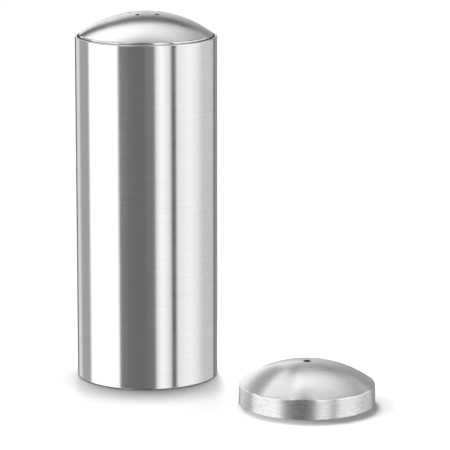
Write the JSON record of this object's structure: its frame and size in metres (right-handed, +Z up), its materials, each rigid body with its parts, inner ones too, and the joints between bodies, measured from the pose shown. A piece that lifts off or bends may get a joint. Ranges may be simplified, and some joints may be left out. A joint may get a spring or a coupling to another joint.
{
  "type": "salt shaker",
  "caption": "Tall round table salt shaker of satin steel: a tube round a salt container, a domed screw cap with pouring holes set in its mouth, and a loose spare cap with one central hole.",
  "frame": {"origin": "centre of the foot pad's underside, on the shaker's axis, at the height of the table", "axes": "+Z up along the shaker's axis; the loose cap lies towards +X and -Y"},
  "size_m": [0.0838, 0.0709, 0.1045],
  "materials": {
    "satin_steel": "satin, with fine lines that run round the axis",
    "pressed_steel": "plain pressed, slightly duller",
    "white_plastic": "moulded, fine matte",
    "clear_silicone": "soft, translucent grey",
    "foot_rubber": "dark, matte"
  },
  "bodies": {
    "shaker": {"outer_sleeve": "satin_steel", "base_plate": "pressed_steel", "foot_pad": "foot_rubber", "salt_container": "white_plastic"},
    "five_hole_cap_seal": {"five_hole_cap_gasket": "clear_silicone"},
    "five_hole_cap": {"five_hole_cap_shell": "satin_steel", "five_hole_cap_thread_ring": "white_plastic"},
    "one_hole_cap": {"one_hole_cap_shell": "satin_steel", "one_hole_cap_thread_ring": "white_plastic", "one_hole_cap_gasket": "clear_silicone"}
  },
  "joints": [
    {"name": "five_hole_cap_lift", "type": "slide", "parent": "shaker", "child": "five_hole_cap_seal", "axis": [0, 0, 1], "range_m": [0, 0.012]},
    {"name": "five_hole_cap_turn", "type": "hinge", "parent": "five_hole_cap_seal", "child": "five_hole_cap", "pos_m": [0, 0, 0.09285], "axis": [0, 0, 1], "range_deg": [0, 1080]},
    {"name": "one_hole_cap_lift", "type": "slide", "parent": "shaker", "child": "one_hole_cap", "axis": [0, 0, 1], "range_m": [0, 0.05]}
  ],
  "couplings": [
    {"joint": "five_hole_cap_lift", "follows": "five_hole_cap_turn", "m_per_rad": 0.00063661}
  ]
}
